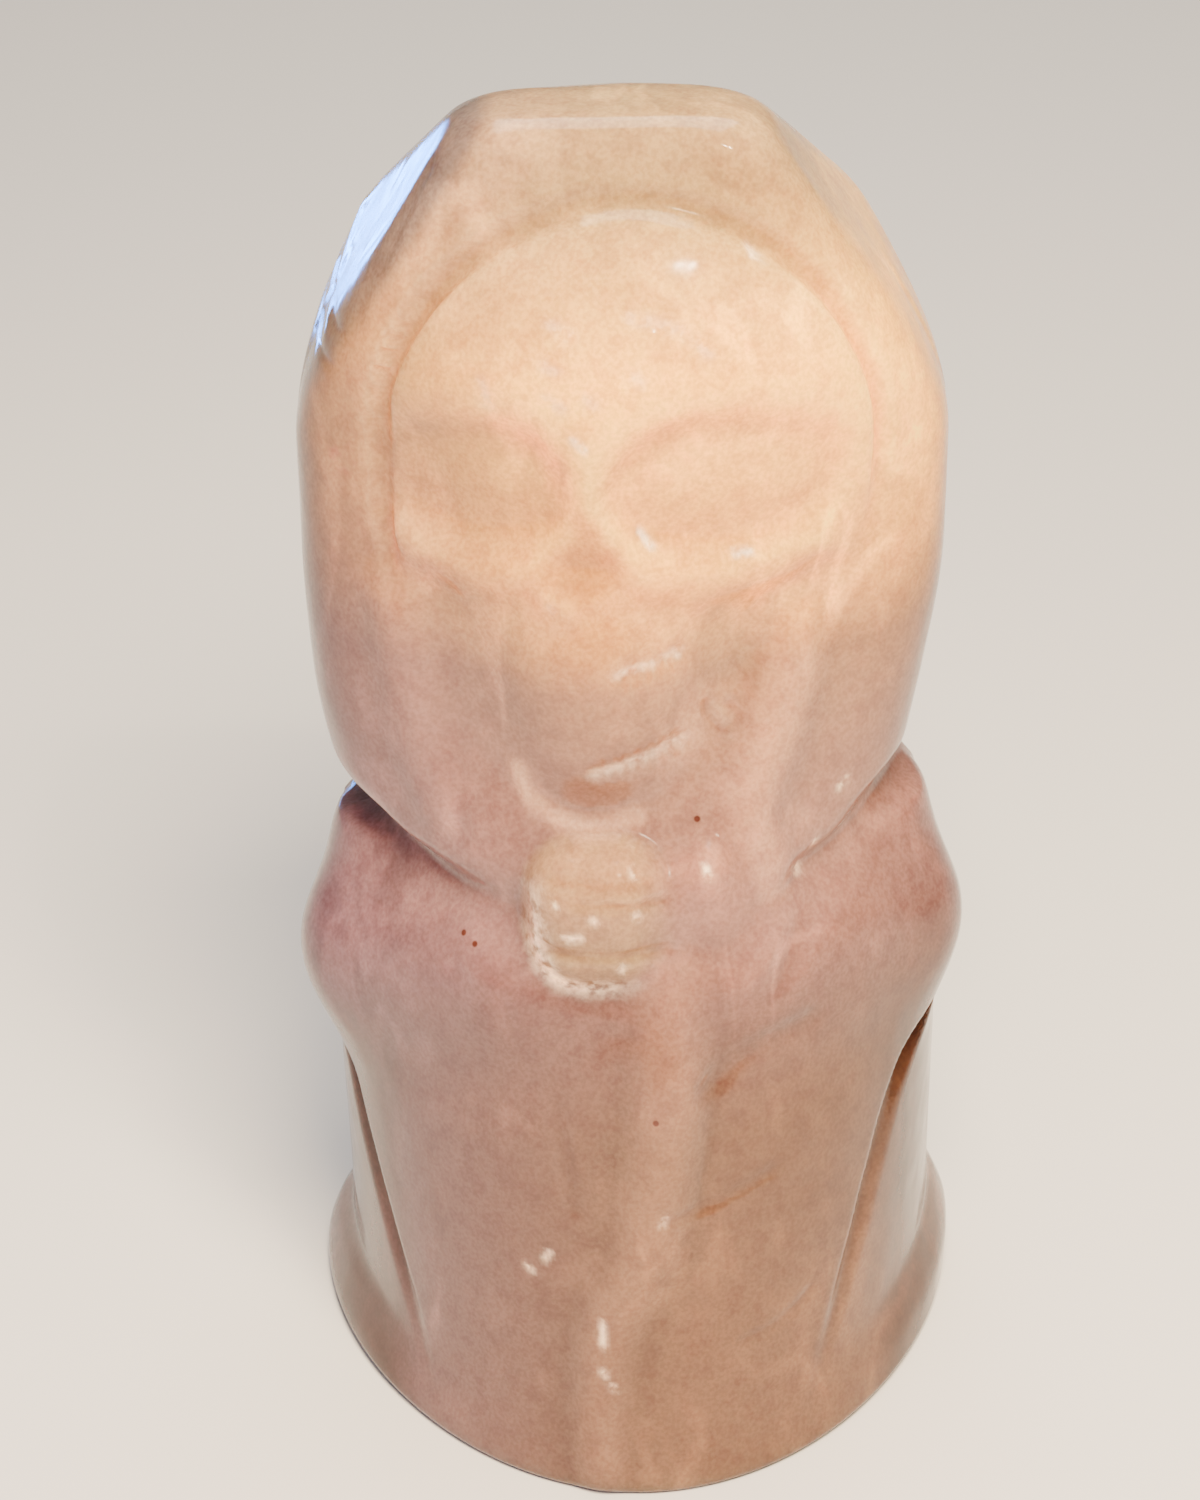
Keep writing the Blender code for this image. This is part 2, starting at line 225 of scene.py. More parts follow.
def leaned(p):
    """Points in the frame of the drapery, whose lines all run a little higher to the right."""
    return p - np.outer(p[:, 0], (0, 0, DRAPERY_LEAN))


print(f"Across the hem the drapery climbs {50 * DRAPERY_LEAN:.1f} shares")

# %% [markdown]
# The robe is one tall rounded mass that slopes back as it rises, and the cape's hem flares over the
# underside. The half-widths come from calliper sizes across the figure. Like the real piece, robe, cape and
# figure are one stone: they are joined, never stacked.

# %% Robe and hem
NECK_HALF = 20.3
WAIST_HALF = 22.9
HEM_HALF = 25.0
FOOT_FRONT = 28.8
FOOT_BACK = 19.4
WIDEST_LINE = 2.4


def robe(p):
    """The body under the hood: a tall rounded mass that slopes back as it rises."""
    z = p[:, 2]
    low = [(0, WAIST_HALF + 0.6), (8, WAIST_HALF), (26, WAIST_HALF + 0.2)]
    high = [(34, NECK_HALF + 1.8), (40, NECK_HALF), (47, NECK_HALF - 0.9)]
    face = [(8, 29.6), (18, 28.4), (30, 26.8), (38, 25), (46, 20.5), (56, 15)]
    width = along_height(z, low + high)
    front = along_height(z, [(0, FOOT_FRONT + WIDEST_LINE)] + face)
    back = along_height(z, [(0, FOOT_BACK - WIDEST_LINE), (10, 15.8), (30, 15.2), (46, 14.2)])
    mass = column(p - (0, WIDEST_LINE, 0), width, front, back, 1.94)
    return trim(mass, z - 56, 6)


def hem(p):
    """The cape's hem, which flares over the underside and ends in a notch."""
    z = np.maximum(leaned(p)[:, 2], 0)
    foot_front = FOOT_FRONT + WIDEST_LINE
    foot_back = FOOT_BACK - WIDEST_LINE
    width = along_height(z, [(0, HEM_HALF - 0.1), (2, HEM_HALF), (5, HEM_HALF - 0.9), (8, HEM_HALF - 3.5)])
    front = along_height(z, [(0, foot_front), (8, foot_front - 4.5)])
    back = along_height(z, [(0, foot_back + 0.4), (3, foot_back + 0.4), (8, foot_back - 3)])
    mass = column(p - (-0.3, WIDEST_LINE, 0), width, front, back, 1.9)
    return trim(mass, z - 8.5, 2.5)


print(f"The hem is {2 * HEM_HALF * SHARE / MM:.1f} mm across")

# %% [markdown]
# Two heavy sleeves run from the shoulders round the elbows to the wrists. Each is two round rods that meet
# at the elbow. The cape's front edges are burr grooves that start under the elbows and sweep down to the
# hem. The back was never in view, so it gets the plain upright folds that such capes have. The staff is a
# bead down the front, half sunk in the robe, since the carver left it as a low ridge of the same stone.

# %% Sleeves and cape edges
SLEEVE_HALF = 24.1
SLEEVE_RADIUS = 6.3


def sleeves(p):
    """Two heavy sleeves, from the shoulders round the elbows to the wrists."""
    q = mirrored(leaned(p), -0.35)
    elbow = SLEEVE_HALF - SLEEVE_RADIUS
    upper = rod(q, (15.8, -2, 40.8), (elbow, -4, 35), SLEEVE_RADIUS, SLEEVE_RADIUS)
    lower = rod(q, (elbow, -4.6, 34.8), (8, -15.4, 39.8), SLEEVE_RADIUS, 5.0)
    return join(upper, lower, 2)


def skirt(p):
    """Robe and hem, before anything is cut into them."""
    return join(robe(p), hem(p), 0.8)


# At the hem the burr lifts off the stone
LIFT_OFF = 1.3
LEFT_CAPE_EDGE = laid(skirt, [(-22.4, 27), (-21.2, 21.5), (-19.8, 16.5), (-18.2, 11), (-16.7, 3)])
RIGHT_CAPE_EDGE = laid(skirt, [(22.2, 29.4), (19.4, 25.4), (17.4, 19.8), (15.9, 14.5), (13.2, 3.5)])
for edge in (LEFT_CAPE_EDGE, RIGHT_CAPE_EDGE):
    edge[-1, 1] -= LIFT_OFF


def cape_grooves(p):
    """Where the cape's front edges lie on the robe, fading out at the hem."""
    return np.minimum(bead(p, LEFT_CAPE_EDGE, 0.8, 0.3), bead(p, RIGHT_CAPE_EDGE, 0.9, 0.4))


print(f"The sleeves are {2 * SLEEVE_HALF * SHARE / MM:.1f} mm across at the elbows")

# %% Back folds and staff
# How deep the staff's middle line lies under the robe's skin
STAFF_SUNK = 1.1


def back_folds(p):
    """Soft upright folds down the back of the cape."""
    folds = []
    for x in (-8.5, 0, 8.5):
        line = [(x, 20.6, 42), (1.15 * x, 20.9, 24), (1.3 * x, 22.6, 4)]
        folds.append(bead(p, line, 2.6, 3.4))
    return np.min(folds, axis=0)


STAFF_PATH = [(2.4, 41), (2, 32.5), (1.1, 25.3), (0.2, 19.6), (-2.2, 14), (-3, 8), (-3, 2)]
STAFF_LINE = laid(skirt, STAFF_PATH, STAFF_SUNK)


def staff(p):
    """The upright staff, which runs from the hands down the robe."""
    return bead(p, STAFF_LINE, 2.5, 1.5)


print("The staff's path has", len(STAFF_LINE), "points")

# %% [markdown]
# The hood is the biggest mass. On the real stone the grinding wheel left it flat in four places: a small
# facet on top, a long bevel down each side, and a slope at the back. Each of those is a plane that trims the
# mass. The hood's front edges fall forward as a cowl over the shoulders, to a point at the hands.

# %% Hood and cowl
HOOD_HALF = 22.9
BEVEL_ACROSS, BEVEL_UP, BEVEL_OUT = 0.842, 0.540, 62.1
SLOPE_BACK, SLOPE_UP, SLOPE_OUT = 0.62, 0.785, 77.3


def bevels(x, z):
    """The two flat bevels that slope from the hood's sides to its top."""
    return BEVEL_ACROSS * np.abs(x) + BEVEL_UP * z - BEVEL_OUT


def hood(p):
    """The deep hood, cut above by a flat top facet, two side bevels and a sloping back."""
    z = p[:, 2]
    sway = along_height(z, [(44, -0.9), (52, -1.0), (66, -0.4), (76, -0.3), (84, -0.6), (100, -0.9)])
    x, y = p[:, 0] - sway, p[:, 1]
    low = [(42, HOOD_HALF - 3.6), (49, HOOD_HALF - 2.1), (57, HOOD_HALF - 0.7), (66, HOOD_HALF)]
    high = [(75, HOOD_HALF), (84, HOOD_HALF - 0.3), (100, HOOD_HALF - 2)]
    width = along_height(z, low + high)
    front = along_height(z, [(44, 15), (56, 14.5), (75, 13), (88, 12.9), (95, 12.4), (100, 11)])
    back = along_height(z, [(44, 15), (55, 16.5), (75, 17.3), (100, 15)])
    mass = column(np.column_stack([x, y, z]), width, front, back, 2.7)
    mass = trim(mass, bevels(x, z), 3)
    mass = trim(mass, SLOPE_BACK * y + SLOPE_UP * z - SLOPE_OUT, 4)
    mass = trim(mass, z - 100, 2.6)
    return trim(mass, 47.6 - z, 3.4)


def cowl(p):
    """The hood's front edges, which fall forward over the shoulders to a point at the hands."""
    z = p[:, 2]
    width = along_height(z, [(37, 7), (42, 12.6), (45.5, 15.5), (48.5, 19), (60, 19.6)])
    front = along_height(z, [(37, 22), (42, 21.6), (50, 19), (57, 16.6), (65, 14.4), (75, 12.5)])
    mass = column(p - (-0.6, 0, 0), width, front, 8.0, 2.2)
    mass = trim(mass, z - 76, 6)
    return trim(mass, 37 - z, 2)


print(f"The hood is {2 * HOOD_HALF * SHARE / MM:.1f} mm across")

# %% [markdown]
# A large hollow opens the hood round the skull, with the throat below it. A shallow groove parts the skull
# from the brim in an arch. Two soft ridges, the lapels, run down past the jaw, and a deep V groove divides
# the cowl from the sleeves; where it comes out at the sides, it pinches the figure's neck.

# %% The hood's opening and the drapery's lines
def opening(p):
    """The hollow of the hood round the skull, and the throat below it."""
    face = egg(p, (0.2, -15.5, 78), (17.6, 4.6, 19))
    throat = egg(p, (-2.2, -22.0, 57.5), (10.2, 4.9, 9.5))
    return join(face, throat, 3)


def hollowed_hood(p):
    """Hood and cowl with the hollow for the face."""
    return cut(join(hood(p), cowl(p), 2), opening(p), 1.6)


def arch(p):
    """The shallow groove that parts the skull from the hood's brim."""
    side = [(16.2, -13.6, 66), (16.8, -11.6, 71), (17.0, -11.2, 76), (16.4, -11.6, 82)]
    top = [(13.0, -12.4, 88.8), (7.6, -12.9, 93.4), (0, -13, 95.6), (-7.6, -12.9, 93.4)]
    return bead(mirrored(p, 0.3), side + top, 0.5, 0.9)


LEFT_LAPEL = laid(hollowed_hood, [(-15.4, 66), (-15, 61), (-14.4, 56), (-13.2, 51)], 1.4)
RIGHT_LAPEL = laid(hollowed_hood, [(9.8, 66), (10.6, 62), (9.3, 56.5), (7.6, 51.5), (8.5, 46), (7, 41)], 1)


def lapels(p):
    """Two soft ridges from the cheeks past the jaw. The right one goes on down to the hands."""
    return np.minimum(bead(p, LEFT_LAPEL, 2.0, 1.0), bead(p, RIGHT_LAPEL, 2.0, 1.7))


def cowl_grooves(p):
    """The V between the cowl and the sleeves, open at the sides as the neck's pinch."""
    side = [(21.4, 8, 46.5), (20.9, 0, 47), (19, -8, 47.3)]
    front = [(16.5, -13.8, 46), (14, -17.9, 43.8), (12.3, -20.7, 40.8), (10.4, -22.6, 38.2)]
    return bead(mirrored(leaned(p), 0.5 + 0.08 * p[:, 1]), side + front, 2.5, 0.7)


print("The lapels' paths have", len(LEFT_LAPEL), "and", len(RIGHT_LAPEL), "points")

# %% [markdown]
# The skull is nobody's: a broad cranium, cheekbones, a muzzle and a chin, all eggs that run into one
# another. It sits a little left of the hood's middle. Sockets, nose and sunken cheeks are eggs cut away.
# The sockets are cut to a set depth under the skull's own skin, so their floors curve with it, and a plane
# that falls back from the brow holds their upper edge level.

# %% The skull
FACE_MIDDLE = -2.4
BROW, BROW_FRONT, BROW_FALL = 81.5, -18.0, 0.5
# The sockets' depths by the nose and at the temples, and how far those are from the face's middle
SOCKET_ENDS, SOCKET_DEPTHS = (4, 16), (1.4, 0.6)


def skull(p):
    """Cranium, cheekbones, muzzle and chin, a little left of the hood's middle."""
    cranium = egg(p, (0.2, -3, 79.5), (19.6, 16.6, 19.2))
    cheeks = egg(p, (-1.2, -6.4, 71.3), (16.6, 11.7, 5.4))
    jaw = egg(p, (-1.8, -6.5, 64), (12.6, 11.2, 12.5))
    muzzle = egg(p, (FACE_MIDDLE, -10.0, 62), (7.8, 9.2, 9.4))
    chin = egg(p, (FACE_MIDDLE, -12.4, 56.3), (6.6, 6.0, 4.9))
    head = join(cranium, cheeks, 3)
    head = join(head, jaw, 3)
    head = join(head, muzzle, 3)
    head = join(head, chin, 2.4)
    return trim(head, bevels(p[:, 0] + 1, p[:, 2]) + 1.2, 1.5)


def sockets(p):
    """Two broad, shallow eye sockets under a level brow, deepest by the nose."""
    left = egg(p, (-10.7, -16, 76.8), (6.0, 12, 4.9))
    right = egg(p, (6.5, -16, 77.0), (7.2, 12, 4.8))
    under_brow = p[:, 2] + BROW_FALL * (p[:, 1] - BROW_FRONT) - BROW
    openings = trim(np.minimum(left, right), under_brow, 1.2)
    depth = np.interp(np.abs(p[:, 0] - FACE_MIDDLE), SOCKET_ENDS, SOCKET_DEPTHS)
    return trim(openings, -skull(p) - depth, 1.8)


def nose(p):
    """The nose cavity, wider at its foot."""
    foot = egg(p, (FACE_MIDDLE - 1.0, -20.4, 71.6), (3.3, 2.8, 2.0))
    bridge = egg(p, (FACE_MIDDLE - 0.8, -20.9, 73.4), (1.9, 2.6, 2.2))
    return join(foot, bridge, 1)


def cheek_hollows(p):
    """The sunken cheeks below the cheekbones."""
    return egg(mirrored(p, FACE_MIDDLE), (9.4, -19.2, 63), (3.0, 3.6, 5.2))


print("The sockets are", SOCKET_DEPTHS[0], "shares deep by the nose and", SOCKET_DEPTHS[1], "at the temples")

# %% [markdown]
# Two fists close on the staff, one on the other. At this size a carver leaves them as one rounded block, so
# it is a block here too, with an egg beside it for the thumb's knuckle and a larger one for the wrist that
# runs into the sleeve. The lines between the fingers come later, with the other tool marks.

# %% The fists
FISTS_MIDDLE, FISTS_HALVES, FISTS_CORNER = (-2.7, -19.2, 45.6), (4.9, 4.0, 5.5), 3.9


def fists(p):
    """Two fists clasped one on the other, with a thumb's knuckle and a wrist to their right."""
    both = block(p, FISTS_MIDDLE, FISTS_HALVES, FISTS_CORNER)
    knuckle = egg(p, (5.0, -18.6, 48.8), (1.5, 2.2, 1.8))
    wrist = egg(p, (4.0, -17.4, 45.0), (4.6, 3.8, 4.6))
    return join(join(both, wrist, 2.5), knuckle, 2.0)


print(f"The fists are {2 * FISTS_HALVES[0]:.1f} shares wide and {2 * FISTS_HALVES[2]:.0f} tall")

# %% [markdown]
# With all masses named, the carving itself reads as a carver's order of work: rough out the body, add the
# hood, hollow the face, set the skull in it, cut the lines, and leave the fists standing proud.

# %% Roughing out the figure
def body(p):
    """Robe, hem, staff and sleeves with the cape's lines."""
    figure = join(skirt(p), staff(p), 1.8)
    figure = join(figure, sleeves(p), 5.5)
    figure = cut(figure, cape_grooves(p), 1.0)
    return cut(figure, back_folds(p), 3)


def hooded_head(p):
    """Hood and cowl, hollowed, with the lapels and the skull in the hollow."""
    upper = join(hollowed_hood(p), lapels(p), 2.4)
    head = cut(skull(p), sockets(p), 3.8)
    head = cut(head, nose(p), 1.4)
    head = cut(head, cheek_hollows(p), 2)
    upper = join(upper, head, 1.6)
    return cut(upper, arch(p), 0.8)


def main_forms(p):
    """The whole figure without its tool marks."""
    figure = join(body(p), hooded_head(p), 0.8)
    figure = cut(figure, cowl_grooves(p), 1.2)
    return join(figure, fists(p), 1.2)


chest = laid(main_forms, [(0, 35)])[0]
print(f"At 35 shares up, the front of the robe lies {-chest[1]:.1f} shares from the middle")

# %% [markdown]
# Now the small tool marks that a solid model leaves out. Each mark is a short line in front view, pressed
# onto the figure, with a width and a depth. It moves the surface by a soft bell curve, down for a cut and up
# for a bead of stone left standing, so a mark never has a hard wall that the polish would have taken off.

# %% Marks on the face
def mark(points, width, depth):
    """A tool mark: its line in front view, its width and its depth, below zero where it stands proud."""
    return points, width, depth


def teeth(start, end, count, tall, width, depth):
    """Short upright cuts, evenly spread along a line between the lips."""
    nicks = []
    for share in (np.arange(count) + 0.5) / count:
        x = start[0] + (end[0] - start[0]) * share
        z = start[1] + (end[1] - start[1]) * share
        nicks.append(mark([(x, z - tall), (x, z + tall)], width, depth))
    return nicks


CHEEKBONES = [
    mark([(0.8, 73.6), (2.1, 72.5), (7.4, 71.5), (11.5, 71.3), (14.7, 69.8)], 0.8, -0.12),
    mark([(-6.6, 72.8), (-9, 71.8), (-12.4, 71.2)], 0.9, -0.08),
    mark([(-5.3, 68.9), (-4.7, 68.3)], 1.0, -0.3),
]
MOUTH = [
    mark([(-0.9, 63.9), (0.6, 64.3), (2.0, 64.5), (3.4, 64.9)], 0.4, 0.35),
    mark([(-2.6, 56.0), (-0.9, 56.5), (1.2, 57.0), (3.5, 57.6)], 0.45, 0.45),
]
TEETH = [
    *teeth((-0.8, 63.9), (3.2, 64.7), 5, 0.8, 0.25, 0.2),
    *teeth((-2.5, 56.1), (3.4, 57.5), 7, 0.8, 0.25, 0.22),
]
print(len(CHEEKBONES + MOUTH + TEETH), "marks on the face")

# %% Marks on the bevel, chin, hands and robe
BEVEL_RIPPLES = [
    mark([(-12.6, 96.4), (-15.8, 90.4), (-18.4, 84.6)], 0.7, 0.14),
    mark([(-14.6, 95.0), (-17.8, 89.4), (-20.2, 83.6)], 0.7, -0.10),
    mark([(-16.8, 92.4), (-19.6, 87.2), (-21.2, 82.4)], 0.6, 0.12),
    mark([(-18.2, 86.2), (-19.4, 84.6), (-20.6, 85.2)], 0.35, 0.12),
    mark([(-18.8, 83.6), (-20.0, 82.2), (-21.0, 82.8)], 0.35, 0.12),
]
CHIN = [
    mark([(-7.9, 55.4), (-7.1, 53.4), (-5.8, 52.3), (-4.2, 51.6), (-2.3, 51.5), (0.1, 52.0)], 0.6, -0.3),
    mark([(5.2, 59.6), (5.5, 58.4), (6.4, 57.6), (7.2, 58.4), (6.8, 59.4)], 0.4, 0.3),
]
FINGERS = [
    mark([(-5.6, 49.4), (-3.7, 49.4), (-0.9, 49.1), (1.0, 48.9)], 0.4, 0.35),
    mark([(-3.9, 48.2), (-2.3, 48.1), (2.0, 47.4)], 0.4, 0.4),
    mark([(-6.4, 44.2), (-2.8, 44.0), (2.2, 43.6)], 0.45, 0.5),
]
ROBE_LINES = [
    mark([(-5.8, 31.5), (-5.5, 28.1), (-4.7, 23.4)], 0.6, 0.2),
    mark([(5.6, 33), (5.2, 28), (4.6, 24)], 0.8, 0.15),
    mark([(1.7, 23.2), (4.3, 23.3), (7.2, 24.2), (9.7, 24.9)], 0.5, 0.2),
    mark([(7.5, 11.3), (10.1, 11.8), (12.4, 13.2)], 0.45, 0.2),
    mark([(4.7, 32.8), (7.2, 34.6), (9.4, 35.5), (12.3, 35.9)], 0.9, 0.3),
]
print(len(BEVEL_RIPPLES + CHIN + FINGERS + ROBE_LINES), "marks on bevel, chin, hands and robe")

# %% [markdown]
# Quartz chips rather than cuts. Where the burr turned, it left little bruised spots, which stay white and
# catch the light. They are the brightest things on the piece, so they are laid out as carefully as the face.

# %% Bruises
FOREHEAD_CHIPS = [
    mark(ends, 0.5, 0.18)
    for ends in (
        [(0.3, 89.2), (2.0, 88.9)], [(2.2, 88.8), (3.7, 88.2)], [(-4.8, 88.7), (-3.5, 88.0)],
        [(-5.3, 86.2), (-4.5, 85.8)], [(-5.2, 84.0), (-4.2, 83.6)], [(0.4, 85.8), (0.9, 85.3)],
        [(-9.5, 84.6), (-9.0, 83.2)], [(-2.7, 84.4), (-2.0, 83.9)], [(4.6, 87.6), (5.4, 86.8)],
    )
]
BRUISES = [
    mark(ends, 0.35, 0.15)
    for ends in (
        [(8.2, 92.2), (8.4, 91.9)], [(8.7, 91.8), (8.8, 91.7)], [(-3.5, 81.4), (-2.8, 80.8)],
        [(0.7, 74.0), (1.5, 72.9)], [(7.0, 71.7), (8.2, 71.6)], [(-5.2, 68.7), (-5.0, 68.5)],
        [(3.1, 64.9), (3.3, 64.4)], [(-0.4, 56.8), (0.0, 56.7)], [(3.2, 57.7), (3.5, 57.2)],
        [(-0.1, 49.9), (0.0, 49.7)], [(-5.6, 48.2), (-5.5, 48.0)], [(-2.9, 47.0), (-2.8, 46.9)],
        [(0.1, 47.0), (0.2, 46.9)], [(-5.0, 45.4), (-3.8, 45.6)], [(-1.1, 43.0), (-0.9, 42.6)],
        [(4.9, 49.6), (5.2, 48.9)], [(12.9, 48.0), (12.6, 47.4)], [(11.6, 46.3), (11.4, 45.9)],
        [(14.6, 51.2), (15.2, 51.6)], [(-2.9, 14.8), (-2.9, 13.0)], [(-2.9, 10.7), (-2.8, 10.4)],
        [(-2.2, 9.4), (-2.1, 9.2)], [(-8.3, 17.8), (-8.0, 17.6)], [(-7.0, 18.8), (-6.6, 19.4)],
        [(1.6, 23.0), (1.9, 23.6)],
    )
]
print(len(FOREHEAD_CHIPS + BRUISES), "chips and bruises")

# %% [markdown]
# The marks now go onto the figure. Their points are pressed back in one go, each line is smoothed, and the
# bell curve is worked out only for the skin close by, which keeps the carving quick. Lips, chin, chips and
# bruises stay in groups of their own, because the material comes back to them.

# %% The finished carving
# A mark is felt out to this many of its own widths
MARK_REACH = 3


def pressed_on(marks):
    """The same marks, with their lines pressed onto the figure and smoothed."""
    lines = laid(main_forms, np.vstack([points for points, _, _ in marks]))
    ends = np.cumsum([len(points) for points, _, _ in marks])
    pressed = []
    for line, (_, width, depth) in zip(np.split(lines, ends[:-1]), marks):
        pressed.append((smooth_line(line, 3), width, depth))
    return pressed


def from_line(p, line):
    """How far each point is from a line of points."""
    return np.min([rod(p, start, end, 0, 0) for start, end in zip(line, line[1:])], axis=0)


def bell(p, line, width):
    """One on a line, falling away to nothing on both sides of it."""
    away = np.zeros(len(p))
    reach = MARK_REACH * width
    close = (p > line.min(axis=0) - reach) & (p < line.max(axis=0) + reach)
    rows = np.flatnonzero(close.all(axis=1))
    if len(rows):
        away[rows] = np.exp(-(from_line(p[rows], line) / width) ** 2)
    return away


MOUTH_LINES = pressed_on(MOUTH)
CHIN_LINES = pressed_on(CHIN)
OTHER_LINES = pressed_on(CHEEKBONES + TEETH + BEVEL_RIPPLES + FINGERS + ROBE_LINES)
CHIPS = pressed_on(FOREHEAD_CHIPS)
BRIGHT_CHIPS = pressed_on(BRUISES)
ALL_MARKS = MOUTH_LINES + CHIN_LINES + OTHER_LINES + CHIPS + BRIGHT_CHIPS


def relief(p):
    """How far the tool marks lower the surface at each point."""
    return sum(depth * bell(p, line, width) for line, width, depth in ALL_MARKS)


def carving(p):
    """The figure with its tool marks: how far each point lies outside the stone."""
    return main_forms(p) + relief(p)


print(len(ALL_MARKS), "marks are pressed onto the figure")

# %% [markdown]
# A distance isn't a mesh yet. Marching through a grid of cells would leave crumbs and slivers, so a blank is
# drawn onto the carving instead: a UV sphere, each of whose vertices slides along its own ray until it meets
# the stone's outermost surface. The rays leave level from a line up the figure's core, fan out over the top
# and run flat under the foot. They lie closer together in front, where the carving is.

# %% Where the rays go
SEGMENTS, RINGS = ((300, 328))
FRONT_CROWDING = 0.42
# The core line's place front to back, and the height at which the rays start to fan out
CORE_LINE = -4.0
CORE_TOP = 92.0
# Shares of the blank's latitude: the underside, the foot's rounded edge and the level rays
UNDER = 0.04
EDGE = 0.07
CROWN = 0.88
FOOT_EDGE = 1.0


def around(longitude):
    """The longitude that a blank's meridian takes, set closer together in front."""
    return longitude - FRONT_CROWDING * np.sin(longitude)


def rays(blank):
    """For each vertex of the blank, where its ray starts, its direction and how far out it reaches."""
    latitude = np.arcsin(np.clip(blank[:, 2], -1, 1)) / math.pi + 0.5
    longitude = around(np.arctan2(blank[:, 0], -blank[:, 1]))
    under = np.clip(latitude / UNDER, 0, 1)
    up = np.interp(latitude, [UNDER, EDGE, CROWN], [0, FOOT_EDGE, CORE_TOP])
    tilt = np.interp(latitude, [CROWN, 1], [0, math.pi / 2])
    start = np.column_stack([0 * up, 0 * up + CORE_LINE, up])
    level = np.cos(tilt)
    direction = np.column_stack([np.sin(longitude) * level, -np.cos(longitude) * level, np.sin(tilt)])
    return start, direction, under


print(SEGMENTS * (RINGS - 1) + 2, "rays")

# %% Drawing the blank onto the carving
# Each ray is searched inwards between these in coarse steps, and the step that meets stone is halved
RAY_REACH, RAY_NEAR = 44.0, 2.0
RAY_STEPS = 70
HALVINGS = 12


def outermost(start, direction):
    """How far along each ray the stone's outermost surface lies."""
    steps = np.linspace(RAY_REACH, RAY_NEAR, RAY_STEPS)
    inside = np.zeros(len(start))
    outside = np.full(len(start), RAY_REACH)
    waiting = np.ones(len(start), bool)
    for near, far in zip(steps[1:], steps):
        rows = np.flatnonzero(waiting)
        met = rows[carving(start[rows] + near * direction[rows]) <= 0]
        inside[met], outside[met] = near, far
        waiting[met] = False
    for _ in range(HALVINGS):
        middle = (inside + outside) / 2
        within = carving(start + middle[:, None] * direction) <= 0
        inside = np.where(within, middle, inside)
        outside = np.where(within, outside, middle)
    return inside


def drawn(blank):
    """The blank's vertices, drawn onto the carving, in hundredths of the height."""
    start, direction, under = rays(blank)
    reach = outermost(start, direction)
    rise = np.clip(FOOT_EDGE - start[:, 2], 0, FOOT_EDGE)
    reach = (reach - FOOT_EDGE + np.sqrt(FOOT_EDGE ** 2 - rise ** 2)) * under
    return start + reach[:, None] * direction


front_ray = outermost(np.array([[0, CORE_LINE, 35.0]]), np.array([[0, -1.0, 0]]))[0]
print(f"A ray to the front meets the robe {front_ray:.1f} shares out")

# %% [markdown]
# The stone is one solid, so it is one mesh. Bmesh makes the blank, its vertices are moved in one array, and
# the mesh is centred over the origin as the imported model is. It rides on the frame's only body and takes
# the place of the imported model's reaper, which is hidden.

# %% Carve the stone
def carved_mesh(name):
    """A UV sphere drawn onto the carving, stood on the origin and shaded smooth."""
    shape = bmesh.new()
    bmesh.ops.create_uvsphere(shape, u_segments=SEGMENTS, v_segments=RINGS, radius=1)
    bmesh.ops.recalc_face_normals(shape, faces=shape.faces)
    mesh = bpy.data.meshes.new(name)
    shape.to_mesh(mesh)
    shape.free()
    blank = np.empty(3 * len(mesh.vertices), np.float32)
    mesh.vertices.foreach_get("co", blank)
    places = drawn(blank.reshape(-1, 3).astype(float))
    middle = SHARE * (places.min(axis=0) + places.max(axis=0)) / 2
    middle[2] = 0
    mesh.vertices.foreach_set("co", (places * SHARE - middle).astype(np.float32).ravel())
    mesh.shade_smooth()
    mesh.update()
    return mesh, places, Vector(middle)


stone_mesh, stone_places, plan_middle = carved_mesh("carved_stone")
stone = bpy.data.objects.new("carved_stone", stone_mesh)
bpy.context.scene.collection.objects.link(stone)
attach(stone, "root")
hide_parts("reaper")
print(len(stone_mesh.polygons), "faces, moved by", [round(v / SHARE, 2) for v in plan_middle], "shares")

# %% [markdown]
# The finish needs to know where the carving is: which skin lies in an eye socket, in a crease, on the hands
# or on a bruise. The distances already know that. Each of these becomes a named number on every vertex, from
# 0 to 1, which the material reads as an attribute.

# %% Hollows, creases and bruises
def fade(away, width):
    """One inside, zero outside, with a soft change of that width."""
    t = np.clip(0.5 - away / width, 0, 1)
    return t * t * (3 - 2 * t)


def socket_shade(p):
    """The floors of the eye sockets, the nose and the sunken cheeks, which get painted shade."""
    hollow = np.minimum(sockets(p), nose(p))
    return np.maximum(fade(hollow - 0.3, 2.4), 0.5 * fade(cheek_hollows(p), 3))


def crease_shade(p):
    """The bottoms of the grooves, and faintly the arch, which get painted shade."""
    grooves = np.minimum(cowl_grooves(p), cape_grooves(p))
    return np.maximum(fade(grooves - 0.1, 1.0), 0.35 * fade(arch(p), 1.2))


def bruised_and_glinting(p):
    """The chips and the lips' cuts, where the quartz is white and rough and carries painted glints."""
    marks = [bell(p, line, 0.75 * width) for line, width, _ in BRIGHT_CHIPS]
    marks += [0.9 * bell(p, line, 0.8 * width) for line, width, _ in MOUTH_LINES]
    marks += [0.4 * bell(p, line, 0.8 * width) for line, width, _ in CHIPS]
    return np.max(marks, axis=0)


print("At the edge of a hollow its shade is at", float(fade(np.array(0.0), 1.0)))
